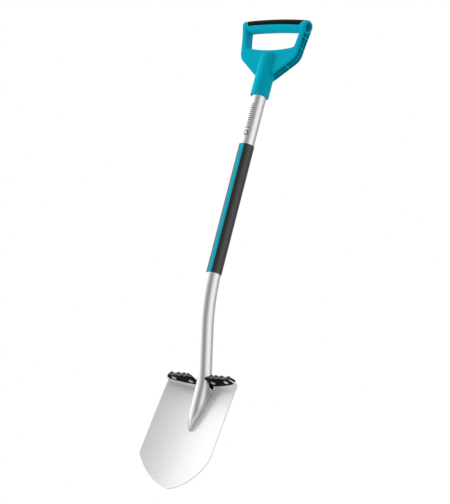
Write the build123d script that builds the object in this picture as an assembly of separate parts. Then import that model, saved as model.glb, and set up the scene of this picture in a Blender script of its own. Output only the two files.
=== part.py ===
from build123d import *
import os
from math import atan2, cos, degrees, radians, sin, sqrt

# Garden spade with a pointed, dished blade, a cranked tubular shaft and a D-handle.
#
# Row frame, millimetres: the origin is the cutting tip, +Z runs up along the straight
# part of the shaft, the hollow (front) face of the blade looks towards -Y, and the
# object is symmetric about the plane x = 0.
# Blade frame: the same origin, but its z runs up along the blade. It is the row frame
# turned back by SHAFT_LEAN about X.

os.makedirs("parts", exist_ok=True)

# ---------------------------------------------------------------- driving dimensions
SHAFT_LEAN = 10.85          # the shaft leans forward of the blade by this many degrees
SHAFT_Y = -30.0             # the shaft's axis stands this far in front of the cutting tip

# Blade (blade frame)
SHEET = 2.0                 # steel sheet
BLADE_LENGTH = 270.0        # cutting tip to underside of the foot flange
SHOULDER_HEIGHT = 75.0      # where the straight sides meet the pointed end
SHOULDER_WIDTH = 208.0
RIM_WIDTH = 205.0
EDGE_BOW = 13.5             # the cutting edges bow out from their chords by this much
TIP_ROUND = 6.0
RIM_RADIUS = 222.0          # the dish's radius where the foot flanges fold forward
RIM_SET_BACK = 4.0          # the rim's middle lies this far behind the cutting tip

# Foot flange and tread pads (blade frame)
FLANGE_FRONT = 42.0         # front edge, ahead of the blade frame's origin
FLANGE_GAP = 20.5           # half of the gap that the tube passes through
COVE = 4.0                  # inside radius of the flange's bend
BEND_Z = BLADE_LENGTH - COVE  # the sheet starts to fold here
# height on the blade, radius of the dish there, and how far its spine is set back
DISH_STATIONS = (
    (-4.0, 330.0, 0.0),
    (75.0, 300.0, 0.0),
    (170.0, 262.0, 0.6),
    (BEND_Z, RIM_RADIUS, RIM_SET_BACK),
)
PAD_FRONT = 45.5
PAD_BASE = 1.2              # pad material under the flange
PAD_TOP = 7.5               # pad material over the flange
PAD_SLOPE = 5.5             # the pad's front face leans back by this much over its height
PAD_END = 96.0
PAD_INNER = 20.0            # inner end of the pad's channel
PAD_SETBACK = 8.0           # the pad's underside starts this far ahead of the rim
LUG_XS = (31.0, 47.5, 64.0, 84.0)
LUG_WIDTH = 8.0
LUG_RISE = 2.2
LUG_PROUD = 1.2             # the lugs stand this far out of the pad's front face
CHEEK_INNER = 18.3          # plate that closes the pad's inner end, beside the tube
CHEEK_REAR = -1.0           # its rear edge, ahead of the blade frame's origin
CHEEK_HOOK = 13.0           # width of the hook at its rear, below the flange
CHEEK_LOW_Z = 261.0         # height of the hook's lower edge
RIVET_XS = (33.0, 77.0)
RIVET_FRONT = (22.5, 32.5)  # the rivets' distance ahead of the blade frame's origin
RIVET_SHANK_R = 2.4
RIVET_HEAD_R = 4.8
WASHER_R = 6.0
WASHER = 0.8
COUNTERBORE_R = 7.5
COUNTERBORE = 4.4
RIVET_HEAD_RISE = 1.4

# Shaft tube
TUBE_R = 17.6
TUBE_WALL = 1.6
BEND_TOP_Z = 529.5          # the shaft is straight above this height
BEND_R = 430.0
BEND_ANGLE = 19.65
NECK_RUN = 101.0            # straight stretch between the two bends
HEEL_R = 110.0
HEEL_ANGLE = 17.9
HEEL_RUN = 113.0            # straight stretch that lies on the blade
FIT = 0.03                  # clearance between surfaces that touch

# Weld beads along the heel (blade frame)
# height, distance from the middle, distance ahead of the blade's spine, half width, half depth
BEAD_STATIONS = (
    (258.0, 14.0, 1.5, 3.2, 4.5),
    (245.0, 14.8, 0.8, 3.4, 6.0),
    (224.0, 14.6, 4.0, 4.0, 9.0),
    (207.0, 13.4, 4.0, 3.8, 9.0),
    (191.0, 10.4, 4.5, 3.4, 9.0),
    (175.0, 5.8, 4.3, 3.4, 8.8),
    (159.0, 2.4, 3.4, 3.4, 7.0),
    (151.5, 1.0, 1.5, 3.2, 6.0),
)
# outline of the pointed tongue that the tube's end is cut to: height, half width
TONGUE = ((214.0, 18.5), (190.0, 11.5), (174.0, 5.6), (153.0, 3.6))

# Shaft sleeve
SLEEVE_BOTTOM_Z = 516.5
SLEEVE_LENGTH = 327.0
SLEEVE_WALL = 1.0
STRIPE_WIDTH = 10.2
STRIPE_DEPTH = 0.4

# D-handle
COLLAR_BOTTOM_Z = 970.0
COLLAR_R = 22.6
SOCKET_TOP_Z = 1081.0
TUBE_TOP_Z = 1066.0
NECK_Z = 1021.5             # the shoulders leave the collar here
ELBOW_Z = 1069.5            # the shoulders turn into the arms here
ELBOW_X = 82.6
ELBOW_ROUND = 35.0
ARM_TOP_X = 96.5
GRIP_Z = 1151.5             # axis of the grip bar at its ends
GRIP_R = 16.5
GRIP_CROWN = 3.8            # the bar's middle stands this much higher than its ends
ARM_DEPTH_R = 17.0          # half of the handle's depth at the grip bar
ARM_WALL = 14.2
WINDOW_BOTTOM_X = 71.0
WINDOW_BOTTOM_Z = 1097.0
WINDOW_SAG = 7.5
WINDOW_ROUND = 8.0
# height, and how far the handle reaches ahead of and behind the shaft's axis there
DEPTH_STATIONS = (
    (1005.0, 8.5, 19.0),
    (1050.0, 9.0, 18.5),
    (1095.0, 9.6, 17.4),
    (1120.0, 11.6, 17.0),
    (1138.0, 14.2, 17.0),
)
POCKET_DEPTH = 7.4
POCKET_RIB = 2.6
POCKET_RIB_BACK = 6.0       # the rib between the two rows stands this far behind the axis
POCKET_FRONT_WALL = 4.0
POCKET_BACK_WALL = 2.2
POCKET_LOW_Z = 1021.0
CROSS_RIB_ZS = (1126.0, 1097.5)
ELBOW_RIB_X = 57.0
END_BORE_R = 10.4
END_BORE_DEPTH = 24.0
END_BORE_POINT = 14.2       # the bore's lower side comes to a point this far down
EDGE_ROUND = 3.0

# Palm insert on the grip bar
INSERT_DEPTH = 2.4
INSERT_PROUD = 0.3
INSERT_LOW_ANGLE = -5.0     # its long edges lie this far above the bar's middle
INSERT_LOW_X = 77.0
INSERT_TOP_X = 83.5

# Rivet through the back of the collar
HANDLE_RIVET_Z = 1000.0
HANDLE_RIVET_SHANK_R = 2.5
HANDLE_RIVET_HEAD_R = 5.0
HANDLE_RIVET_TAIL_R = 3.6

IN_BLADE_FRAME = Location((0, 0, 0), (-SHAFT_LEAN, 0, 0))


# ---------------------------------------------------------------- helpers
def save(shape, node):
    """Write one node's solids as a STEP file."""
    solids = shape.solids()
    body = solids[0] if len(solids) == 1 else Compound(children=list(solids))
    body.label = node
    export_step(body, f"parts/{node}.step")


def both_sides(shape):
    """The shape and its mirror image across x = 0."""
    return shape + mirror(shape, about=Plane.YZ)


def from_front(sketch, near, far):
    """Extrude a sketch of x, z points from y = near to y = far."""
    return extrude(Plane.XZ.offset(-far) * sketch, far - near)


def bowed(start, end, bow):
    """Arc from start to end whose middle stands off its chord, to the right of travel."""
    a, b = Vector(*start), Vector(*end)
    across = (b - a).normalized()
    middle = (a + b) * 0.5 + Vector(across.Y, -across.X) * bow
    return ThreePointArc(a, middle, b)


def rivet(shank_r, head_r, head_rise, grip, tail_r, tail_rise):
    """Rivet with its head's flat on z = 0, pointing up, and its tail's flat at z = grip."""
    half = Polyline((0, -head_rise), (0.45 * head_r, -0.95 * head_rise), (0.85 * head_r, -0.6 * head_rise),
                    (head_r, 0), (shank_r, 0), (shank_r, grip), (tail_r, grip),
                    (0.85 * tail_r, grip + 0.6 * tail_rise), (0.45 * tail_r, grip + 0.95 * tail_rise),
                    (0, grip + tail_rise), close=True)
    return revolve(Plane.XZ * make_face(half), Axis.Z)


# ---------------------------------------------------------------- blade
def dish_section(height, radius, set_back, thickness, half_width=112.0):
    """Band of the dished sheet at one height: its front arc is hollow towards -Y."""
    centre_y = set_back - radius
    front_end = (half_width, centre_y + sqrt(radius**2 - half_width**2))
    back_r = radius + thickness
    back_end = (half_width, centre_y + sqrt(back_r**2 - half_width**2))
    outline = [
        ThreePointArc((-front_end[0], front_end[1]), (0, set_back), front_end),
        Line(front_end, back_end),
        ThreePointArc(back_end, (0, set_back + thickness), (-back_end[0], back_end[1])),
        Line((-back_end[0], back_end[1]), (-front_end[0], front_end[1])),
    ]
    return Plane.XY.offset(height) * make_face(Curve() + outline)


def dished_solid(thickness):
    """The dished sheet before it is cut out, with its front face on the blade's front."""
    return loft([dish_section(*station, thickness) for station in DISH_STATIONS])


def blade_outline():
    """Front outline of the blade, with straight sides and a bowed point."""
    shoulder = (SHOULDER_WIDTH / 2, SHOULDER_HEIGHT)
    rim = (RIM_WIDTH / 2, BEND_Z)
    edge = bowed((0, 0), shoulder, EDGE_BOW)
    other = mirror(edge, about=Plane.YZ)
    sides = Polyline(shoulder, rim, (-rim[0], rim[1]), (-shoulder[0], shoulder[1]))
    face = make_face(Curve() + [edge, sides, other])
    return fillet(face.vertices().sort_by(Axis.Y)[0], TIP_ROUND)


def rim_arc_y(x, setback):
    """Blade-frame y of the rim's front arc at x, moved forward by setback."""
    return RIM_SET_BACK - RIM_RADIUS + sqrt(RIM_RADIUS**2 - x**2) - setback


def flange_outline():
    """Right-hand foot flange, seen from above."""
    rim_x = RIM_WIDTH / 2
    side_y = rim_arc_y(rim_x, 8)
    face = make_face(Polyline((FLANGE_GAP, 10), (rim_x, 10), (rim_x, side_y), (93, -FLANGE_FRONT),
                              (FLANGE_GAP, -FLANGE_FRONT), close=True))
    rounded = face.vertices().filter_by(lambda v: v.X > 80 and v.Y < 0)
    return fillet(rounded, 5)


def folded_ring():
    """The folded edge as a full ring round the rim arc's centre: bend and flange."""
    outer, top = RIM_RADIUS + SHEET, BLADE_LENGTH + SHEET
    profile = make_face(Polyline((RIM_RADIUS, BEND_Z - 1), (RIM_RADIUS, BLADE_LENGTH), (100, BLADE_LENGTH),
                                 (100, top), (outer, top), (outer, BEND_Z - 1), close=True))
    inside = profile.vertices().filter_by(lambda v: abs(v.X - RIM_RADIUS) < 0.1 and v.Y > BEND_Z)
    profile = fillet(inside, COVE)
    outside = profile.vertices().filter_by(lambda v: abs(v.X - outer) < 0.1 and v.Y > BEND_Z)
    profile = fillet(outside, COVE + SHEET)
    profile -= Pos(outer, BEND_Z - 5) * Rectangle(4 * COVE, 10)
    return Pos(0, RIM_SET_BACK - RIM_RADIUS, 0) * revolve(Plane.XZ * profile, Axis.Z)


def make_blade():
    """Pointed blade whose top edge is folded forward into two foot flanges."""
    sheet = dished_solid(SHEET) & from_front(blade_outline(), -80, 80)
    flange = folded_ring() & extrude(Plane.XY.offset(BEND_Z) * flange_outline(), 20)
    blade = sheet + both_sides(flange)
    for side in (1, -1):
        for x, front in zip(RIVET_XS, RIVET_FRONT):
            blade -= Pos(side * x, -front, BLADE_LENGTH) * Cylinder(RIVET_SHANK_R + FIT, 4 * SHEET)
    return blade


# ---------------------------------------------------------------- tread pads
def pad_plan(front, setback):
    """Plan of the right-hand pad: its rear edge runs along the rim."""
    middle = (PAD_INNER + PAD_END) / 2
    rear = ThreePointArc((PAD_INNER, rim_arc_y(PAD_INNER, setback)), (middle, rim_arc_y(middle, setback)),
                         (PAD_END, rim_arc_y(PAD_END, setback)))
    rest = Polyline((PAD_END, rim_arc_y(PAD_END, setback)), (PAD_END, -front), (PAD_INNER, -front),
                    (PAD_INNER, rim_arc_y(PAD_INNER, setback)))
    face = make_face(Curve() + [rear, rest])
    corners = face.vertices().filter_by(lambda v: v.Y < -front + 0.1).sort_by(Axis.X)
    face = fillet(corners[-1], 13)
    return fillet(face.vertices().filter_by(lambda v: v.Y < -front + 0.1).sort_by(Axis.X)[0], 2)


def pad_lug(x, low, deck):
    """One lug across the pad at x: it follows the front face and rises above the deck."""
    front, top = PAD_FRONT + LUG_PROUD, deck + LUG_RISE
    side = make_face(Polyline((0, low + 1), (-front, low + 1), (-front, BLADE_LENGTH + SHEET + 0.5),
                              (-front + PAD_SLOPE, top), (0, top), close=True))
    side = fillet(side.vertices().filter_by(lambda v: v.X < -1 and v.Y > low + 2), 2.5)
    bar = extrude(Plane.YZ.offset(x - LUG_WIDTH / 2) * side, LUG_WIDTH)
    bar &= extrude(Plane.XY.offset(low) * pad_plan(front, PAD_SETBACK + 1), 40)
    outer = [e for e in bar.edges() if e.center().Z > low + 2 and e.center().Y < -PAD_SETBACK - 4
             and abs(abs(e.center().X - x) - LUG_WIDTH / 2) < 0.01]
    return fillet(outer, 1.5)


def pad_cheek(deck):
    """Plate at the pad's inner end: it fills the gap beside the tube and hooks down behind."""
    low = BLADE_LENGTH - PAD_BASE
    hook_front = CHEEK_REAR + CHEEK_HOOK
    side = make_face(Polyline((-PAD_FRONT + 3, low), (-hook_front - 8, low), (-hook_front, CHEEK_LOW_Z),
                              (-CHEEK_REAR, CHEEK_LOW_Z), (-CHEEK_REAR, deck),
                              (-PAD_FRONT + 3 + PAD_SLOPE, deck), close=True))
    plate = extrude(Plane.YZ.offset(CHEEK_INNER) * side, FLANGE_GAP - FIT - CHEEK_INNER)
    return fillet(plate.edges().filter_by(Axis.X), 0.9)


def make_pad():
    """Right-hand tread pad: a channel pushed over the flange, with lugs on top."""
    low = BLADE_LENGTH - PAD_BASE
    flange_top = BLADE_LENGTH + SHEET
    deck = flange_top + PAD_TOP
    base = extrude(Plane.XY.offset(low) * pad_plan(PAD_FRONT, PAD_SETBACK), PAD_BASE + SHEET)
    cap = loft([Plane.XY.offset(flange_top) * pad_plan(PAD_FRONT, PAD_SETBACK - 2),
                Plane.XY.offset(deck) * pad_plan(PAD_FRONT - PAD_SLOPE, PAD_SETBACK - 2)])
    pad = base + cap
    pad = fillet([e for e in pad.edges() if abs(e.center().Z - deck) < 0.1], 1.2)
    pad = fillet([e for e in pad.edges() if abs(e.center().Z - low) < 0.1], 0.5)
    for x in LUG_XS:
        pad += pad_lug(x, low, deck)
    pad -= extrude(Plane.XY.offset(BLADE_LENGTH - FIT) * Pos(0, -FLANGE_FRONT / 2 + 10) * Rectangle(
        2 * (RIM_WIDTH), FLANGE_FRONT + 20 + 2 * FIT), SHEET + 2 * FIT)
    pad += pad_cheek(deck)
    for x, front in zip(RIVET_XS, RIVET_FRONT):
        pad -= Pos(x, -front, BLADE_LENGTH) * Cylinder(RIVET_SHANK_R + FIT, 60)
        pad -= Pos(x, -front, deck - COUNTERBORE + 10) * Cylinder(COUNTERBORE_R, 20)
    return pad


def at_rivets(shape):
    """Copies of a shape at the four rivet positions, as separate solids."""
    return [Pos(side * x, -front, 0) * shape
            for side in (1, -1) for x, front in zip(RIVET_XS, RIVET_FRONT)]


def make_tread_rivets():
    """Four rivets: heads under the pads, tails in the pads' counterbores."""
    low = BLADE_LENGTH - PAD_BASE - WASHER
    grip = WASHER + PAD_BASE + SHEET + PAD_TOP - COUNTERBORE
    one = Pos(0, 0, low) * rivet(RIVET_SHANK_R, RIVET_HEAD_R, RIVET_HEAD_RISE, grip, 4.2, 1.9)
    return Compound(children=at_rivets(one))


def make_rivet_washers():
    """Four washers that spread the rivet heads' load on the pads."""
    ring = Cylinder(WASHER_R, WASHER) - Cylinder(RIVET_SHANK_R + FIT, 2 * WASHER)
    ring = fillet(ring.edges().filter_by(GeomType.CIRCLE).sort_by(Axis.Z)[0:2].sort_by(SortBy.LENGTH)[-1], 0.4)
    one = Pos(0, 0, BLADE_LENGTH - PAD_BASE - WASHER / 2) * ring
    return Compound(children=at_rivets(one))


# ---------------------------------------------------------------- shaft
def tube_path():
    """Centre line of the tube in the plane x = 0, from its top to its lower end."""
    top = Line((SHAFT_Y, TUBE_TOP_Z), (SHAFT_Y, BEND_TOP_Z))
    bend = JernArc(top @ 1, top % 1, BEND_R, BEND_ANGLE)
    neck = Line(bend @ 1, bend @ 1 + (bend % 1) * NECK_RUN)
    heel_bend = JernArc(neck @ 1, neck % 1, HEEL_R, -HEEL_ANGLE)
    heel = Line(heel_bend @ 1, heel_bend @ 1 + (heel_bend % 1) * HEEL_RUN)
    return Plane.YZ * (Curve() + [top, bend, neck, heel_bend, heel])


def tube_solid(radius):
    """Solid rod along the tube's centre line."""
    start = Plane(origin=(0, SHAFT_Y, TUBE_TOP_Z), z_dir=(0, 0, -1))
    return sweep(start * Circle(radius), path=tube_path().wire())


def tongue():
    """Room that the tube's pointed end keeps, seen from the front of the blade."""
    right = [(half, height) for height, half in TONGUE]
    left = [(-half, height) for height, half in reversed(TONGUE)]
    top = [(-40, TONGUE[0][0]), (-40, 500), (40, 500), (40, TONGUE[0][0])]
    return from_front(make_face(Polyline(right + left + top, close=True)), -200, 100)


def rod_on_blade(radius):
    """Solid rod along the centre line, cut to lie on the blade and to its pointed tongue."""
    rod = IN_BLADE_FRAME.inverse() * tube_solid(radius)
    rod -= Pos(0, -FIT, 0) * dished_solid(70)
    below = Pos(0, 0, TONGUE[0][0] / 2) * Box(120, 400, TONGUE[0][0])
    rod -= below - tongue()
    return IN_BLADE_FRAME * rod


def make_tube():
    """Steel tube, bent twice, with its lower end cut to lie on the blade."""
    return rod_on_blade(TUBE_R) - tube_solid(TUBE_R - TUBE_WALL) - handle_rivet_hole()


def make_bead():
    """Right-hand weld bead along the tube's lower end, meeting the left one at its point."""
    bead = loft([Plane.XY.offset(height) * Pos(x, -ahead) * Ellipse(wide, deep)
                 for height, x, ahead, wide, deep in BEAD_STATIONS])
    bead &= Pos(60, 0, 200) * Box(120, 300, 400)
    bead -= Pos(0, -FIT, 0) * dished_solid(70)
    return IN_BLADE_FRAME * bead - rod_on_blade(TUBE_R + FIT)


def make_sleeve():
    """Thin sleeve on the shaft, with a shallow groove down its front for the stripe."""
    outer = TUBE_R + FIT + SLEEVE_WALL
    sleeve = Cylinder(outer, SLEEVE_LENGTH)
    sleeve = fillet(sleeve.edges().filter_by(GeomType.CIRCLE), 0.5)
    sleeve = Pos(0, SHAFT_Y, SLEEVE_BOTTOM_Z + SLEEVE_LENGTH / 2) * sleeve
    return sleeve - tube_solid(TUBE_R + FIT) - stripe_solid(0.0)


def stripe_solid(gap):
    """Curved strip let into the sleeve's front, smaller by gap all round."""
    outer = TUBE_R + FIT + SLEEVE_WALL
    inner = outer - STRIPE_DEPTH + gap
    half = degrees((STRIPE_WIDTH / 2 - gap) / outer)
    ends = [(r * sin(radians(a)), -r * cos(radians(a))) for r in (inner, outer) for a in (-half, half)]
    face = make_face(Curve() + [
        ThreePointArc(ends[0], (0, -inner), ends[1]), Line(ends[1], ends[3]),
        ThreePointArc(ends[3], (0, -outer), ends[2]), Line(ends[2], ends[0])])
    length = SLEEVE_LENGTH - 1.2
    return Pos(0, SHAFT_Y, SLEEVE_BOTTOM_Z + 0.6) * extrude(face, length)


# ---------------------------------------------------------------- D-handle
def handle_outline():
    """Front outline of the handle: shoulders that rise from the socket, elbows and arms."""
    top = GRIP_Z + ARM_DEPTH_R + 0.6
    arm_slope = (ARM_TOP_X - ELBOW_X) / (top - ELBOW_Z)
    shoulder_slope = (ELBOW_Z - NECK_Z) / (ELBOW_X - COLLAR_R)
    inner_x = 6.0
    right = [(inner_x, NECK_Z - shoulder_slope * (COLLAR_R - inner_x)), (ELBOW_X, ELBOW_Z),
             (ELBOW_X + arm_slope * (top - ELBOW_Z), top)]
    left = [(-x, z) for x, z in reversed(right)]
    face = make_face(Polyline(right + left, close=True))
    face = fillet(face.vertices().filter_by(lambda v: abs(v.Y - ELBOW_Z) < 1), ELBOW_ROUND)
    return fillet(face.vertices().filter_by(lambda v: v.Y > top - 1), 8)


def window_outline():
    """Room between the arms: its lower edge sags, and it is open at the top."""
    high = GRIP_Z + 2 * ARM_DEPTH_R
    wall_slope = (ARM_TOP_X - ARM_WALL - WINDOW_BOTTOM_X) / (GRIP_Z - WINDOW_BOTTOM_Z)
    wall_top = WINDOW_BOTTOM_X + wall_slope * (high - WINDOW_BOTTOM_Z)
    sag = ThreePointArc((WINDOW_BOTTOM_X, WINDOW_BOTTOM_Z), (0, WINDOW_BOTTOM_Z - WINDOW_SAG),
                        (-WINDOW_BOTTOM_X, WINDOW_BOTTOM_Z))
    sides = Polyline((-WINDOW_BOTTOM_X, WINDOW_BOTTOM_Z), (-wall_top, high), (wall_top, high),
                     (WINDOW_BOTTOM_X, WINDOW_BOTTOM_Z))
    face = make_face(Curve() + [sag, sides])
    return fillet(face.vertices().filter_by(lambda v: v.Y < WINDOW_BOTTOM_Z + 1), WINDOW_ROUND)


def depth_solid(front_wall=0.0, back_wall=0.0):
    """Side profile of the handle, extruded across it: it thins towards the collar."""
    r = ARM_DEPTH_R
    front = [(front_wall - ahead, z) for z, ahead, behind in DEPTH_STATIONS]
    back = [(behind - back_wall, z) for z, ahead, behind in reversed(DEPTH_STATIONS)]
    front_line = Spline(*front, (-r + front_wall, GRIP_Z))
    back_line = Spline((r - back_wall, GRIP_Z), *back)
    cap = ThreePointArc((-r + front_wall, GRIP_Z), ((front_wall - back_wall) / 2, GRIP_Z + r), (r - back_wall, GRIP_Z))
    face = make_face(Curve() + [front_line, cap, back_line, Line(back[-1], front[0])])
    return extrude(Plane.YZ.offset(-120) * Pos(SHAFT_Y, 0) * face, 240)


def grip_path():
    """Axis of the grip bar: a shallow arch."""
    half = ARM_TOP_X - 4
    return Plane.XZ.offset(-SHAFT_Y) * ThreePointArc((-half, GRIP_Z), (0, GRIP_Z + GRIP_CROWN), (half, GRIP_Z))


def along_grip(section):
    """Sweep a section, drawn in y and z about the bar's axis, along the grip bar."""
    path = grip_path()
    start = Plane(origin=path @ 0, x_dir=(0, 1, 0), z_dir=path % 0)
    return sweep(start * section, path=path)


def insert_solid(grow):
    """Soft insert over the upper half of the grip bar, grown by grow on its hidden faces."""
    outer, inner = GRIP_R + INSERT_PROUD, GRIP_R - INSERT_DEPTH - grow
    low = radians(INSERT_LOW_ANGLE - degrees(grow / GRIP_R))
    ends = [(r * cos(a), r * sin(a)) for r in (outer, inner) for a in (low, radians(180) - low)]
    band = make_face(Curve() + [
        ThreePointArc(ends[0], (0, outer), ends[1]), Line(ends[1], ends[3]),
        ThreePointArc(ends[3], (0, inner), ends[2]), Line(ends[2], ends[0])])
    x_low, x_top = INSERT_LOW_X + grow, INSERT_TOP_X + grow
    z_low, z_mid = GRIP_Z - 6, GRIP_Z + 10
    right = [(x_low - 8, z_low), (x_low, GRIP_Z + 1), (x_top, z_mid + 3), (x_top, GRIP_Z + 40)]
    left = [(-x, z) for x, z in reversed(right)]
    trim = make_face(Polyline(right + left, close=True))
    trim = fillet(trim.vertices().filter_by(lambda v: GRIP_Z < v.Y < z_mid + 10), 6)
    return along_grip(band) & from_front(trim, SHAFT_Y - 40, SHAFT_Y + 40)


def pockets():
    """Two rows of moulding pockets along the handle's right-hand outer face."""
    ring = handle_outline() - offset(handle_outline(), -POCKET_DEPTH)
    keep = Pos(75, (POCKET_LOW_Z + GRIP_Z) / 2) * Rectangle(110, GRIP_Z - POCKET_LOW_Z)
    band = from_front(ring & keep, SHAFT_Y - 30, SHAFT_Y + 30)
    band &= depth_solid(POCKET_FRONT_WALL, POCKET_BACK_WALL)
    band -= Pos(0, SHAFT_Y + POCKET_RIB_BACK, 0) * Box(400, POCKET_RIB, 4000)
    band -= Pos(0, SHAFT_Y, GRIP_Z) * Rot(0, 90, 0) * Cylinder(END_BORE_POINT + 2.4, 400)
    band -= Pos(0, SHAFT_Y, GRIP_Z) * Cylinder(COLLAR_R + 1.2, 600)
    for z in CROSS_RIB_ZS:
        band -= Pos(ELBOW_X, SHAFT_Y, z) * Rot(0, 15, 0) * Box(60, 60, POCKET_RIB)
    elbow_z = NECK_Z + (ELBOW_RIB_X - COLLAR_R) * (ELBOW_Z - NECK_Z) / (ELBOW_X - COLLAR_R)
    band -= Pos(ELBOW_RIB_X, SHAFT_Y, elbow_z) * Rot(0, 52, 0) * Box(40, 60, POCKET_RIB + 0.4)
    return band


def end_bore():
    """Tear-shaped blind bore in the right-hand end of the grip bar."""
    r, drop = END_BORE_R, END_BORE_POINT
    touch = degrees(atan2(sqrt(drop**2 - r**2), r))
    a = radians(-90 + touch)
    right = (r * cos(a), r * sin(a))
    left = (-right[0], right[1])
    tear = make_face(Curve() + [ThreePointArc(left, (0, r), right), Line(right, (0, -drop)), Line((0, -drop), left)])
    tear = fillet(tear.vertices().sort_by(Axis.Y)[0], 1.5)
    depth = END_BORE_DEPTH
    return extrude(Plane.YZ.offset(ARM_TOP_X - depth + 2) * Pos(SHAFT_Y, GRIP_Z) * tear, depth + 20)


def make_socket():
    """Round socket for the tube: collar below, domed end between the shoulders."""
    height = SOCKET_TOP_Z - COLLAR_BOTTOM_Z
    socket = Cylinder(COLLAR_R, height)
    rims = socket.edges().filter_by(GeomType.CIRCLE).sort_by(Axis.Z)
    socket = fillet(rims[-1], 13)
    socket = fillet(socket.edges().filter_by(GeomType.CIRCLE).sort_by(Axis.Z)[0], 1.2)
    return Pos(0, SHAFT_Y, COLLAR_BOTTOM_Z + height / 2) * socket


def handle_rivet_hole():
    """Hole for the collar's rivet, through the back of collar and tube."""
    return Pos(0, SHAFT_Y + 15, HANDLE_RIVET_Z) * Rot(90, 0, 0) * Cylinder(HANDLE_RIVET_SHANK_R + FIT, 30)


def make_handle():
    """One-piece moulded D-handle with socket, shoulders, arms and grip bar."""
    plate = from_front(handle_outline() - window_outline(), SHAFT_Y - 40, SHAFT_Y + 40) & depth_solid()
    rims = [e for e in plate.edges() if abs(e.center().Y - SHAFT_Y) > 4 and e.center().Z > NECK_Z]
    curved = [e for e in rims if e.geom_type == GeomType.BSPLINE]
    arm_ends = [e for e in rims if e.geom_type == GeomType.ELLIPSE and abs(e.center().X) > ELBOW_X]
    plate = fillet(curved + arm_ends, EDGE_ROUND)
    handle = plate + make_socket() + along_grip(Circle(GRIP_R))
    handle -= both_sides(pockets())
    handle -= both_sides(end_bore())
    handle -= insert_solid(FIT)
    bore = TUBE_TOP_Z + 1 - COLLAR_BOTTOM_Z + 5
    handle -= Pos(0, SHAFT_Y, COLLAR_BOTTOM_Z - 5 + bore / 2) * Cylinder(TUBE_R + FIT, bore)
    handle -= handle_rivet_hole()
    return handle


def make_handle_rivet():
    """Blind rivet through the back of the collar into the tube."""
    bore_r = TUBE_R - TUBE_WALL
    tail_y = sqrt(bore_r**2 - HANDLE_RIVET_TAIL_R**2) - FIT
    head_y = COLLAR_R + FIT
    one = rivet(HANDLE_RIVET_SHANK_R, HANDLE_RIVET_HEAD_R, 1.8, head_y - tail_y, HANDLE_RIVET_TAIL_R, 1.6)
    return Pos(0, SHAFT_Y + head_y, HANDLE_RIVET_Z) * Rot(90, 0, 0) * one


# ---------------------------------------------------------------- build and write
blade = make_blade()
pad = make_pad()
bead = make_bead()

save(IN_BLADE_FRAME * blade, "blade")
save(IN_BLADE_FRAME * pad, "tread_pad_right")
save(IN_BLADE_FRAME * mirror(pad, about=Plane.YZ), "tread_pad_left")
save(IN_BLADE_FRAME * make_tread_rivets(), "tread_rivets")
save(IN_BLADE_FRAME * make_rivet_washers(), "rivet_washers")
save(make_tube(), "shaft_tube")
save(bead, "weld_bead_right")
save(mirror(bead, about=Plane.YZ), "weld_bead_left")
save(make_sleeve(), "shaft_sleeve")
save(stripe_solid(0.02), "sleeve_stripe")
save(make_handle(), "d_handle")
save(insert_solid(0.0), "palm_insert")
save(make_handle_rivet(), "handle_rivet")
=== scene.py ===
import math

import bpy
from mathutils import Matrix, Vector
from mathutils.bvhtree import BVHTree
from mathutils.noise import noise as value_noise


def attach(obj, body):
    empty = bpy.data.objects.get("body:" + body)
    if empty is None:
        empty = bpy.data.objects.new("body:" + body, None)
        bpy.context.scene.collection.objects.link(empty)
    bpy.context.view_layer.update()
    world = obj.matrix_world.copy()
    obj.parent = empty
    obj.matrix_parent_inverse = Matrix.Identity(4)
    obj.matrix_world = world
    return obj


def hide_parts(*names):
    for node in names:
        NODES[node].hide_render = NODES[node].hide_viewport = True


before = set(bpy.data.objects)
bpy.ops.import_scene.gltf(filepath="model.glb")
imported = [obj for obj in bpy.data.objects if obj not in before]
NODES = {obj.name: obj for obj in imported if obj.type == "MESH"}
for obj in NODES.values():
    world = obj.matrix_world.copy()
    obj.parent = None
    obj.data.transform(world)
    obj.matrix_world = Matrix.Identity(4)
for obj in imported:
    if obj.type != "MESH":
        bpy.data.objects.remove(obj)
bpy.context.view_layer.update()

MM = 0.001

# The CAD dimensions that the finer meshes below follow, in millimetres and degrees
SHAFT_LEAN = 10.85        # lean of the blade against the straight part of the shaft
SHAFT_Y = -30.0           # centre line of the straight part
TUBE_R = 17.6
TUBE_TOP_Z = 1066.0
BEND_TOP_Z = 529.5
BEND_R, BEND_ANGLE = 430.0, 19.65
NECK_RUN = 101.0          # straight length between the two bends
HEEL_R, HEEL_ANGLE = 110.0, 17.9
HEEL_RUN = 113.0          # straight length below the second bend, down to the tongue's tip
SHOULDER_Z = 270.5        # top of the blade

# height on the blade and half width of the tube's tongue
TONGUE = ((260.0, 18.5), (214.0, 18.5), (190.0, 11.5), (174.0, 5.6), (153.0, 3.6))

# weld bead: height on the blade, distance from the middle and ahead of it, half width, half depth
BEAD_STATIONS = (
    (258.0, 14.0, 1.5, 3.2, 4.5),
    (245.0, 14.8, 0.8, 3.4, 6.0),
    (224.0, 14.6, 4.0, 4.0, 9.0),
    (207.0, 13.4, 4.0, 3.8, 9.0),
    (191.0, 10.4, 4.5, 3.4, 9.0),
    (175.0, 5.8, 4.3, 3.4, 8.8),
    (159.0, 2.4, 3.4, 3.4, 7.0),
    (151.5, 1.0, 1.5, 3.2, 6.0),
)

# ---------------------------------------------------------------- view and light
CAMERA_AZIMUTH = 39.16       # degrees to the right of the spade's front
CAMERA_ELEVATION = -14.79    # the camera looks at the hollow face from a little below
CAMERA_ROLL = 14.42
CAMERA_DISTANCE = 5.69
CAMERA_AIM = Vector((0.0, -0.0095, 0.580))
CAMERA_LENS = 171.8


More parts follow.
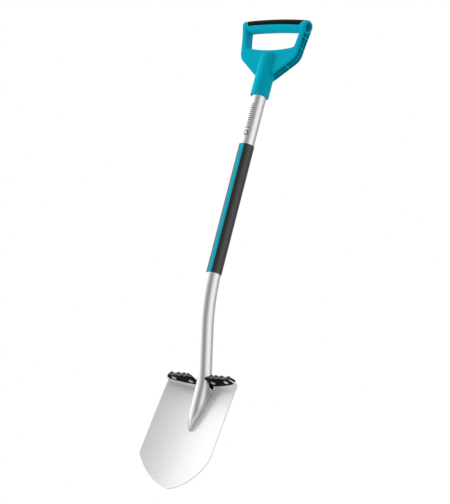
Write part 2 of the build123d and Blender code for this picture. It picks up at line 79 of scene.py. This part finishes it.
def view_axes(azimuth, elevation, roll):
    """Right, up and back axes of a camera, in the row frame."""
    a, e, r = (math.radians(v) for v in (azimuth, elevation, roll))
    back = Vector((math.sin(a) * math.cos(e), -math.cos(a) * math.cos(e), math.sin(e)))
    right = Vector((0, 0, 1)).cross(back).normalized()
    up = back.cross(right)
    return right * math.cos(r) + up * math.sin(r), up * math.cos(r) - right * math.sin(r), back


RIGHT, UP, BACK = view_axes(CAMERA_AZIMUTH, CAMERA_ELEVATION, CAMERA_ROLL)


def placed(position, right, up, back):
    """Matrix that stands at a position and has the three axes as its columns."""
    return Matrix.Translation(position) @ Matrix((right, up, back)).transposed().to_4x4()


def add_object(name, data):
    made = bpy.data.objects.new(name, data)
    bpy.context.scene.collection.objects.link(made)
    return made


def make_camera():
    data = bpy.data.cameras.new("camera")
    data.lens = CAMERA_LENS
    data.clip_end = 50
    camera = add_object("camera", data)
    camera.matrix_world = placed(CAMERA_AIM + BACK * CAMERA_DISTANCE, RIGHT, UP, BACK)
    bpy.context.scene.camera = camera


# place of the softbox as shares of the camera's right, up and back axes, and its sizes in metres
SOFTBOX_TOWARDS = (-0.99, 0.08, -0.12)
SOFTBOX_DISTANCE = 2.6
SOFTBOX_WIDTH, SOFTBOX_HEIGHT = 0.8, 2.6
SOFTBOX_POWER = 55


def make_softbox():
    """Tall area light to the left: the tube throws a short soft shade beside its weld."""
    data = bpy.data.lights.new("left_softbox", "AREA")
    data.shape = "RECTANGLE"
    data.size, data.size_y = SOFTBOX_WIDTH, SOFTBOX_HEIGHT
    data.energy = SOFTBOX_POWER
    light = add_object("left_softbox", data)
    along = Matrix((RIGHT, UP, BACK)).transposed() @ Vector(SOFTBOX_TOWARDS)
    along.normalize()
    side = UP.cross(along).normalized()
    light.matrix_world = placed(CAMERA_AIM + along * SOFTBOX_DISTANCE, side, along.cross(side), along)
    light.visible_glossy = False


# ---------------------------------------------------------------- node helpers
def node(tree, kind, inputs=None, **settings):
    """Add a shader node; an input may be a value or another node's output socket."""
    made = tree.nodes.new(kind)
    for key, value in settings.items():
        setattr(made, key, value)
    for key, value in (inputs or {}).items():
        if isinstance(value, bpy.types.NodeSocket):
            tree.links.new(value, made.inputs[key])
        else:
            made.inputs[key].default_value = value
    return made


def maths(tree, operation, *values):
    """One step of arithmetic on values or sockets."""
    made = node(tree, "ShaderNodeMath", dict(enumerate(values)), operation=operation)
    return made.outputs[0]


def spread(tree, value, low, high, new_low=0.0, new_high=1.0):
    """Map a value smoothly from one range to another."""
    made = node(tree, "ShaderNodeMapRange", {"Value": value, "From Min": low, "From Max": high,
                                             "To Min": new_low, "To Max": new_high},
                interpolation_type="SMOOTHSTEP")
    return made.outputs["Result"]


# sockets of the mix node when it mixes colours
MIX_SHARE, MIX_FIRST, MIX_SECOND, MIX_RESULT = 0, 6, 7, 2


def mixed(tree, share, first, second, blend="MIX"):
    """Two colours mixed, or multiplied with the blend MULTIPLY."""
    inputs = {MIX_SHARE: share, MIX_FIRST: first, MIX_SECOND: second}
    return node(tree, "ShaderNodeMix", inputs, data_type="RGBA", blend_type=blend).outputs[MIX_RESULT]


def dotted(tree, first, second):
    """Dot product of two vectors."""
    made = node(tree, "ShaderNodeVectorMath", {0: first, 1: second}, operation="DOT_PRODUCT")
    return made.outputs["Value"]


def noise(tree, place, scale, detail=3.0, roughness=0.55):
    made = node(tree, "ShaderNodeTexNoise", {"Vector": place, "Scale": scale, "Detail": detail,
                                             "Roughness": roughness})
    return made.outputs["Fac"]


def grey(value):
    return (value, value, value, 1.0)


def surface(name):
    """New material: its tree, its shader and the object coordinates in metres."""
    material = bpy.data.materials.new(name)
    material.use_nodes = True
    tree = material.node_tree
    shader = tree.nodes["Principled BSDF"]
    place = tree.nodes.new("ShaderNodeTexCoord").outputs["Object"]
    return material, tree, shader, place


def relief(tree, shader, height, distance, round_edges):
    """Feed a height in the range 0 to 1 to the shader's normal, over rounded edges."""
    inputs = {"Height": height, "Distance": distance}
    if round_edges:
        inputs["Normal"] = node(tree, "ShaderNodeBevel", {"Radius": round_edges}, samples=6).outputs[0]
    bump = node(tree, "ShaderNodeBump", inputs)
    tree.links.new(bump.outputs[0], shader.inputs["Normal"])


def edge_mask(tree, radius):
    """1 near edges and corners, 0 on open surface."""
    bevel = node(tree, "ShaderNodeBevel", {"Radius": radius}, samples=8).outputs[0]
    plain = tree.nodes.new("ShaderNodeNewGeometry").outputs["Normal"]
    return spread(tree, dotted(tree, bevel, plain), 0.995, 0.8)


# ---------------------------------------------------------------- materials
# In the materials lengths are in metres, and a noise's scale is its number of waves per metre.
ROUND_EDGES = 0.0006      # radius that light sees on the CAD's sharp edges
RIVET_EDGES = 0.0004
PAINT_EDGE = 0.0008       # reach of the other shade along the edges of paint
RUBBED_EDGE = 0.001       # reach of the rubbed edges of plastic
PAINTED_SHADE_REACH = 0.012      # painted shade darkens hollows within this distance

# plain printed scale on the front of the bare tube: a ring with graduation ticks above it,
# in millimetres; every fifth tick is a long one
MARK_TURN = math.radians(3)
RING_Z, RING_IN, RING_OUT = 871.0, 4.2, 6.8
TICKS, TICK_Z, TICK_STEP, TICK_WIDTH = 13, 883.0, 5.0, 2.2
SHORT_TICK, LONG_TICK, LONG_EVERY = 4.0, 6.0, 5
INK = 0.08


def both(tree, first, second):
    """1 where two masks are 1."""
    return maths(tree, "MULTIPLY", first, second)


def printed_scale(tree, place):
    """1 on the printed ring and ticks, 0 on bare metal."""
    axes = node(tree, "ShaderNodeSeparateXYZ", {"Vector": place})
    x, y, z = (maths(tree, "DIVIDE", axes.outputs[name], MM) for name in "XYZ")
    turn = maths(tree, "ARCTAN2", x, maths(tree, "SUBTRACT", SHAFT_Y, y))
    across = maths(tree, "MULTIPLY", maths(tree, "SUBTRACT", turn, MARK_TURN), TUBE_R)
    from_ring = node(tree, "ShaderNodeCombineXYZ", {"X": across, "Y": maths(tree, "SUBTRACT", z, RING_Z)})
    away = node(tree, "ShaderNodeVectorMath", {0: from_ring.outputs[0]}, operation="LENGTH")
    away = away.outputs["Value"]
    ring = both(tree, maths(tree, "GREATER_THAN", away, RING_IN), maths(tree, "LESS_THAN", away, RING_OUT))

    steps = maths(tree, "DIVIDE", maths(tree, "SUBTRACT", z, TICK_Z), TICK_STEP)
    inked = maths(tree, "LESS_THAN", maths(tree, "FRACT", steps), TICK_WIDTH / TICK_STEP)
    fives = maths(tree, "FRACT", maths(tree, "DIVIDE", steps, LONG_EVERY))
    longer = maths(tree, "LESS_THAN", fives, 1 / LONG_EVERY)
    reach = maths(tree, "ADD", maths(tree, "MULTIPLY", longer, LONG_TICK - SHORT_TICK), SHORT_TICK)
    narrow = maths(tree, "LESS_THAN", maths(tree, "ABSOLUTE", across), reach)
    within = both(tree, maths(tree, "GREATER_THAN", steps, 0.0), maths(tree, "LESS_THAN", steps, TICKS))
    tick = both(tree, both(tree, inked, within), narrow)
    return maths(tree, "MAXIMUM", ring, tick)


def enamel(name, base, rough, metal, grain=0.00004, round_edges=ROUND_EDGES, printed=False, edge=1.1):
    """Pale silver enamel on steel: soft sheen, faint orange peel, edges in another shade."""
    material, tree, shader, place = surface(name)
    cloud = noise(tree, place, 9.0, 2.0)
    speck = noise(tree, place, 900.0, 2.0)
    shade = maths(tree, "ADD", maths(tree, "MULTIPLY", cloud, 0.05), maths(tree, "MULTIPLY", speck, 0.03))
    colour = mixed(tree, spread(tree, shade, 0.0, 0.08), grey(base * 0.96), grey(base * 1.03))
    colour = mixed(tree, edge_mask(tree, PAINT_EDGE), colour, grey(min(1.0, base * edge)))
    if printed:
        colour = mixed(tree, printed_scale(tree, place), colour, grey(INK))
    tree.links.new(colour, shader.inputs["Base Color"])
    tree.links.new(spread(tree, cloud, 0.3, 0.7, rough - 0.03, rough + 0.04), shader.inputs["Roughness"])
    shader.inputs["Metallic"].default_value = metal
    relief(tree, shader, noise(tree, place, 420.0, 3.0), grain, round_edges)
    return material


PAINTED_LIGHT_FACING = (0.0, -0.93, 0.37)     # faces of the tread lugs turned this way get painted light


def plastic(name, light, dark, rough, grain_scale, grain, shine, painted_light_colour=None):
    """Moulded plastic with a fine spark-eroded grain, edges rubbed a little shiny, painted shade in its
    hollows and, when asked, painted light on faces turned one way.
    """
    material, tree, shader, place = surface(name)
    cloud = noise(tree, place, 22.0, 3.0)
    colour = mixed(tree, spread(tree, cloud, 0.3, 0.7), dark, light)
    # painted light: faces turned one way are mixed towards a lighter colour, in noisy patches
    if painted_light_colour:
        facing = tree.nodes.new("ShaderNodeTexCoord").outputs["Normal"]
        share = spread(tree, dotted(tree, facing, PAINTED_LIGHT_FACING), 0.55, 0.95)
        light_patches = spread(tree, noise(tree, place, 160.0, 3.0), 0.25, 0.6, 0.55, 1.0)
        colour = mixed(tree, maths(tree, "MULTIPLY", share, light_patches), colour, painted_light_colour)
    # painted shade: the colour is multiplied darker in hollows that ambient occlusion finds
    painted_shade_occlusion = node(tree, "ShaderNodeAmbientOcclusion", {"Distance": PAINTED_SHADE_REACH}, samples=8).outputs["AO"]
    colour = mixed(tree, 1.0, colour, spread(tree, painted_shade_occlusion, 0.2, 0.8, 0.84, 1.0), "MULTIPLY")
    tree.links.new(colour, shader.inputs["Base Color"])
    patch = spread(tree, noise(tree, place, 60.0, 2.0), 0.3, 0.7, rough - 0.04, rough + 0.05)
    rubbed = maths(tree, "MULTIPLY", edge_mask(tree, RUBBED_EDGE), 0.1)
    tree.links.new(maths(tree, "SUBTRACT", patch, rubbed), shader.inputs["Roughness"])
    shader.inputs["Specular IOR Level"].default_value = shine
    relief(tree, shader, noise(tree, place, grain_scale, 2.0), grain, ROUND_EDGES)
    return material


def bright_metal(name, base, rough):
    """Zinc-plated steel of the rivets and washers."""
    material, tree, shader, place = surface(name)
    scratch = noise(tree, place, 1400.0, 3.0)
    colour = mixed(tree, scratch, grey(base * 0.85), grey(base))
    tree.links.new(colour, shader.inputs["Base Color"])
    tree.links.new(spread(tree, scratch, 0.3, 0.7, rough - 0.06, rough + 0.08), shader.inputs["Roughness"])
    shader.inputs["Metallic"].default_value = 1.0
    relief(tree, shader, scratch, 0.00003, RIVET_EDGES)
    return material


def set_material(piece, material):
    piece.data.materials.clear()
    piece.data.materials.append(material)


TEAL = (0.0, 0.44, 0.59, 1.0)
TEAL_DEEP = (0.0, 0.42, 0.565, 1.0)
SOFT_BLACK, BLACK, DEEP_BLACK = grey(0.003), grey(0.002), grey(0.001)


def dress_nodes():
    """Give every CAD node its material; mirrored nodes share one."""
    looks = {
        "blade": enamel("blade_enamel", base=0.95, rough=0.3, metal=0.32, edge=0.25),
        "shaft_tube": enamel("tube_silver", base=0.93, rough=0.22, metal=0.95, grain=0.00002,
                             round_edges=0.0, printed=True),
        "weld_bead_right": enamel("weld_enamel", base=0.8, rough=0.3, metal=0.6, grain=0.0001,
                                  round_edges=0.0),
        # the tread pads get painted light on their lugs' faces turned one way
        "tread_pad_right": plastic("tread_plastic", BLACK, DEEP_BLACK, rough=0.5, grain_scale=1500.0,
                                   grain=0.00006, shine=0.04, painted_light_colour=grey(0.16)),
        "tread_rivets": bright_metal("rivet_zinc", base=0.75, rough=0.3),
        "rivet_washers": bright_metal("washer_zinc", base=0.65, rough=0.38),
        "handle_rivet": bright_metal("handle_rivet_zinc", base=0.7, rough=0.3),
        "shaft_sleeve": plastic("sleeve_plastic", SOFT_BLACK, BLACK, rough=0.3, grain_scale=2000.0,
                                grain=0.00003, shine=1.0),
        "sleeve_stripe": plastic("stripe_plastic", TEAL, TEAL_DEEP, rough=0.4, grain_scale=2000.0,
                                 grain=0.00003, shine=0.1),
        "d_handle": plastic("handle_plastic", TEAL, TEAL_DEEP, rough=0.45, grain_scale=1800.0,
                            grain=0.00004, shine=0.03),
        "palm_insert": plastic("insert_rubber", BLACK, DEEP_BLACK, rough=0.6, grain_scale=1300.0,
                               grain=0.0001, shine=0.08),
    }
    looks["weld_bead_left"] = looks["weld_bead_right"]
    looks["tread_pad_left"] = looks["tread_pad_right"]
    for name, material in looks.items():
        set_material(NODES[name], material)
    return looks


# ---------------------------------------------------------------- finer meshes
TO_BLADE = Matrix.Rotation(math.radians(SHAFT_LEAN), 3, "X")
FROM_BLADE = TO_BLADE.inverted()


def finish_piece(piece, material, replaced, sharp_angle):
    """Smooth shading, material and body of a piece that replaces one CAD node."""
    mesh = piece.data
    mesh.validate()
    mesh.shade_smooth()
    mesh.set_sharp_from_angle(angle=math.radians(sharp_angle))
    set_material(piece, material)
    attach(piece, "root")
    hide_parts(replaced)


def add_piece(name, points, faces, material, replaced):
    """New mesh piece from points in millimetres."""
    mesh = bpy.data.meshes.new(name)
    mesh.from_pydata([point * MM for point in points], [], faces)
    finish_piece(add_object(name, mesh), material, replaced, 40)


def ring_faces(rings, size):
    """Quads between neighbouring rings, and a cap on each end."""
    faces = [(r * size + i, r * size + (i + 1) % size, (r + 1) * size + (i + 1) % size, (r + 1) * size + i)
             for r in range(rings - 1) for i in range(size)]
    faces.append(tuple(reversed(range(size))))
    faces.append(tuple(range((rings - 1) * size, rings * size)))
    return faces


def between(stations, height):
    """Values at a height, from stations listed from the top down."""
    if height >= stations[0][0]:
        return stations[0][1:]
    for upper, lower in zip(stations, stations[1:]):
        if height >= lower[0]:
            share = (upper[0] - height) / (upper[0] - lower[0])
            return tuple(a + (b - a) * share for a, b in zip(upper[1:], lower[1:]))
    return stations[-1][1:]


def blade_tree():
    """Search tree of the CAD blade in the blade frame, in millimetres."""
    blade = NODES["blade"]
    points = [TO_BLADE @ (blade.matrix_world @ v.co) / MM for v in blade.data.vertices]
    return BVHTree.FromPolygons(points, [tuple(f.vertices) for f in blade.data.polygons])


IN_FRONT_Y = -150.0       # clear of the blade, on its hollow side


def on_blade(tree, point, gap=0.03):
    """Blade-frame point, moved forward to the blade's front face if it lies behind it."""
    hit = tree.ray_cast(Vector((point.x, IN_FRONT_Y, point.z)), Vector((0, 1, 0)))[0]
    if hit is not None and point.y > hit.y - gap:
        return Vector((point.x, hit.y - gap, point.z))
    return point


# rings along the tube's two bends and its heel run, and points round each ring
BEND_STEPS, HEEL_STEPS, RUN_STEPS = 48, 32, 90
TUBE_SIDES = 96
BLADE_REACH_Z = 300.0     # below this height the tube may touch the blade


def tube_stations():
    """Centre and lean of the tube along its length, from the top down."""
    stations = [(SHAFT_Y, z, 0.0) for z in (TUBE_TOP_Z, 900.0, 750.0, 600.0, BEND_TOP_Z + 1)]
    lean = math.radians(BEND_ANGLE)
    for i in range(BEND_STEPS + 1):
        a = lean * i / BEND_STEPS
        stations.append((SHAFT_Y + BEND_R * (1 - math.cos(a)), BEND_TOP_Z - BEND_R * math.sin(a), a))
    y, z, a = stations[-1]
    y, z = y + NECK_RUN * math.sin(lean), z - NECK_RUN * math.cos(lean)
    stations.append((y, z, lean))
    back = math.radians(HEEL_ANGLE)
    for i in range(1, HEEL_STEPS + 1):
        a = lean - back * i / HEEL_STEPS
        ahead, drop = math.cos(a) - math.cos(lean), math.sin(lean) - math.sin(a)
        stations.append((y + HEEL_R * ahead, z - HEEL_R * drop, a))
    y, z, a = stations[-1]
    for i in range(1, RUN_STEPS + 1):
        run = HEEL_RUN * i / RUN_STEPS
        stations.append((y + run * math.sin(a), z - run * math.cos(a), a))
    return stations


def make_tube_skin(tree, material):
    """Finely divided outside of the tube, cut to its pointed tongue and laid on the blade."""
    points = []
    stations = tube_stations()
    for y, z, lean in stations:
        for i in range(TUBE_SIDES):
            turn = 2 * math.pi * i / TUBE_SIDES
            side, out = TUBE_R * math.cos(turn), TUBE_R * math.sin(turn)
            point = TO_BLADE @ Vector((side, y + out * math.cos(lean), z + out * math.sin(lean)))
            if point.z < BLADE_REACH_Z:
                half = between(TONGUE, point.z)[0]
                point = Vector((max(-half, min(half, point.x)), point.y, max(point.z, TONGUE[-1][0])))
                point = on_blade(tree, point)
            points.append(FROM_BLADE @ point)
    add_piece("tube_skin", points, ring_faces(len(stations), TUBE_SIDES), material, "shaft_tube")


BEAD_SIDES, BEAD_STEPS = 40, 320
FADE_IN, FADE_OUT = 12, 6 # steps in which the bead swells at its top and shrinks at its tip
RIPPLE_LENGTH = 3.4       # one ripple along the weld
RIPPLE, STREAK, ROUGHNESS = 0.012, 0.05, 0.04     # unevenness as shares of the bead's size
WANDER, SLANT = 0.4, 1.2  # the bead strays sideways, and its ripples lean, by these millimetres
BEAD_GAP = 0.05


def make_weld(tree, side, material, replaced):
    """Rippled weld bead along one side of the tongue, with an uneven outer edge."""
    top, low = BEAD_STATIONS[0][0], BEAD_STATIONS[-1][0]
    points = []
    for step in range(BEAD_STEPS + 1):
        height = top + (low - top) * step / BEAD_STEPS
        x, ahead, wide, deep = between(BEAD_STATIONS, height)
        fade = min(1.0, step / FADE_IN, (BEAD_STEPS - step) / FADE_OUT) ** 0.5
        wander = WANDER * value_noise(Vector((height * 0.16, side * 7.0, 0)))
        for i in range(BEAD_SIDES):
            turn = 2 * math.pi * i / BEAD_SIDES
            ripple = math.sin(2 * math.pi * (height / RIPPLE_LENGTH + 0.5 * math.cos(turn)))
            streak = value_noise(Vector((height * 0.05, turn * 4.0, side * 9.0)))
            rough = value_noise(Vector((height * 0.35, turn * 1.5, side * 3.0)))
            swell = fade * (1 + RIPPLE * ripple + STREAK * streak + ROUGHNESS * rough)
            across = max(0.0, x + wander + wide * swell * math.cos(turn))
            y, z = -ahead + deep * swell * math.sin(turn), height + SLANT * math.cos(turn)
            point = Vector((side * across, y, z))
            points.append(FROM_BLADE @ on_blade(tree, point, BEAD_GAP))
    faces = ring_faces(BEAD_STEPS + 1, BEAD_SIDES)
    if side < 0:
        faces = [tuple(reversed(face)) for face in faces]
    add_piece(replaced + "_ripples", points, faces, material, replaced)


# ---------------------------------------------------------------- handle and treads
VOXEL = 0.5               # edge of the small cubes that the soft copies are built from, in mm


def crease(x, z, start, end, width):
    """Depth share of a soft line between two points of the handle's front, fading at its ends."""
    along = Vector(end) - Vector(start)
    place = Vector((abs(x), z)) - Vector(start)
    share = max(0.0, min(1.0, place.dot(along) / along.length_squared))
    distance = (place - along * share).length
    taper = min(1.0, 6 * share * (1 - share) + 0.15)
    return taper * math.exp(-(distance / width) ** 2)


def soft_copy(name, cad, rounds):
    """Finely divided copy of a CAD node with its joins and corners blended like a moulding."""
    piece = add_object(name, cad.data.copy())
    piece.matrix_world = cad.matrix_world.copy()
    remesh = piece.modifiers.new("remesh", "REMESH")
    remesh.mode = "VOXEL"
    remesh.voxel_size = VOXEL * MM
    soften = piece.modifiers.new("soften", "SMOOTH")
    soften.factor = 0.5
    soften.iterations = rounds
    bpy.context.view_layer.update()
    evaluated = piece.evaluated_get(bpy.context.evaluated_depsgraph_get())
    mesh = bpy.data.meshes.new_from_object(evaluated)
    piece.modifiers.clear()
    piece.data = mesh
    return piece


# the handle's creases run up from the socket to the arms on its front face: ends (x, z), width, depth
VALLEY = ((21, 1068), (74, 1085), 1.6, 0.7)
RIDGE = ((21, 1072), (74, 1089), 2.4, -0.5)
CREASE_TOP_Z, CREASE_HALF_SPAN = 1100, 80
FRONT_Y = SHAFT_Y - 5


def make_moulding(material):
    """Handle with blended joins and soft creases on its front."""
    piece = soft_copy("handle_moulding", NODES["d_handle"], 5)
    for vertex in piece.data.vertices:
        x, y, z = (value / MM for value in vertex.co)
        if y < FRONT_Y and z < CREASE_TOP_Z and abs(x) < CREASE_HALF_SPAN:
            for start, end, width, depth in (VALLEY, RIDGE):
                vertex.co.y += MM * depth * crease(x, z, start, end, width)
    finish_piece(piece, material, "d_handle", 60)


# the pads' inner ends slope away from the tube: they start at this half width, and move outwards
# by this much for each millimetre of height above the blade's shoulder
END_REACH, END_SLOPE, END_BLEND = 36.0, 1.15, 16.0


def make_tread(name, replaced, material):
    """Tread pad with rounded lugs and a sloping inner end; the bright metal does not mirror it."""
    piece = soft_copy(name, NODES[replaced], 12)
    for vertex in piece.data.vertices:
        point = TO_BLADE @ (vertex.co / MM)
        rise = point.z - SHOULDER_Z
        inner = END_REACH - abs(point.x)
        if rise > 0 and inner > 0:
            point.x += math.copysign(END_SLOPE * rise * min(1.0, inner / END_BLEND), point.x)
            vertex.co = (FROM_BLADE @ point) * MM
    piece.visible_glossy = False
    finish_piece(piece, material, replaced, 60)


# ---------------------------------------------------------------- floor and studio
FLOOR_HALF, FLOOR_Z = 6.0, -0.002     # metres


def make_floor():
    """Pale floor under the cutting tip, seen only from above."""
    material, tree, shader = surface("floor_paper")[:3]
    shader.inputs["Base Color"].default_value = grey(0.85)
    shader.inputs["Roughness"].default_value = 0.9
    below = tree.nodes.new("ShaderNodeNewGeometry").outputs["Backfacing"]
    clear = tree.nodes.new("ShaderNodeBsdfTransparent").outputs[0]
    sides = node(tree, "ShaderNodeMixShader", {0: below, 1: shader.outputs[0], 2: clear})
    tree.links.new(sides.outputs[0], tree.nodes["Material Output"].inputs["Surface"])
    mesh = bpy.data.meshes.new("floor")
    corners = ((-1, -1), (1, -1), (1, 1), (-1, 1))
    mesh.from_pydata([(FLOOR_HALF * x, FLOOR_HALF * y, FLOOR_Z) for x, y in corners], [], [(0, 1, 2, 3)])
    floor = add_object("floor", mesh)
    set_material(floor, material)
    floor.visible_glossy = False
    floor.visible_diffuse = False


# Brightness of the studio. The walls are listed by degrees round the spade, with the camera at 0
# and its right-hand side positive; they fade into the ceiling and the ground between two heights,
# given as sines of the elevation.
WALLS = (
    (-180, 0.9),
    (-140, 1.25),
    (-105, 1.25),
    (-80, 0.97),
    (-62, 0.7),
    (-45, 0.38),
    (-28, 0.28),
    (-12, 0.28),
    (4, 0.4),
    (20, 0.76),
    (40, 0.96),
    (60, 1.06),
    (82, 0.78),
    (104, 0.38),
    (135, 0.3),
    (180, 0.9),
)
CEILING, CEILING_FROM, CEILING_FULL = 1.05, 0.5, 0.9
GROUND, GROUND_FROM, GROUND_FULL = 0.55, -0.6, -0.9
BRIGHTEST = 1.6           # above every level, because a colour ramp stops at 1


def make_world():
    """Round studio that is dark behind the camera and pure white to the camera itself."""
    world = bpy.data.worlds.new("studio")
    bpy.context.scene.world = world
    world.use_nodes = True
    tree = world.node_tree
    direction = tree.nodes.new("ShaderNodeTexCoord").outputs["Generated"]
    level_back = Vector((BACK.x, BACK.y, 0)).normalized()
    level_right = Vector((-level_back.y, level_back.x, 0))
    across, along = dotted(tree, direction, level_right), dotted(tree, direction, level_back)
    angle = maths(tree, "ARCTAN2", across, along)
    turn = maths(tree, "ADD", maths(tree, "DIVIDE", angle, 2 * math.pi), 0.5)
    ramp = node(tree, "ShaderNodeValToRGB", {"Fac": turn})
    ramp.color_ramp.interpolation = "B_SPLINE"
    stops = ramp.color_ramp.elements
    stops[0].color = grey(WALLS[0][1] / BRIGHTEST)
    stops[1].color = grey(WALLS[-1][1] / BRIGHTEST)
    for degrees, level in WALLS[1:-1]:
        stops.new(degrees / 360 + 0.5).color = grey(level / BRIGHTEST)
    height = node(tree, "ShaderNodeSeparateXYZ", {"Vector": direction}).outputs["Z"]
    above, below = (spread(tree, height, *span) for span in
                    ((CEILING_FROM, CEILING_FULL), (GROUND_FROM, GROUND_FULL)))
    walls = mixed(tree, above, ramp.outputs["Color"], grey(CEILING / BRIGHTEST))
    room = mixed(tree, below, walls, grey(GROUND / BRIGHTEST))
    seen = tree.nodes.new("ShaderNodeLightPath").outputs["Is Camera Ray"]
    colour = mixed(tree, seen, room, grey(1.0 / BRIGHTEST))
    tree.links.new(colour, tree.nodes["Background"].inputs["Color"])
    tree.nodes["Background"].inputs["Strength"].default_value = BRIGHTEST


LOOKS = dress_nodes()
BLADE_TREE = blade_tree()
make_tube_skin(BLADE_TREE, LOOKS["shaft_tube"])
make_weld(BLADE_TREE, 1, LOOKS["weld_bead_right"], "weld_bead_right")
make_weld(BLADE_TREE, -1, LOOKS["weld_bead_left"], "weld_bead_left")
make_moulding(LOOKS["d_handle"])
make_tread("tread_right_lugs", "tread_pad_right", LOOKS["tread_pad_right"])
make_tread("tread_left_lugs", "tread_pad_left", LOOKS["tread_pad_left"])
make_floor()
make_world()
make_softbox()
make_camera()
bpy.context.scene.view_settings.view_transform = "Standard"
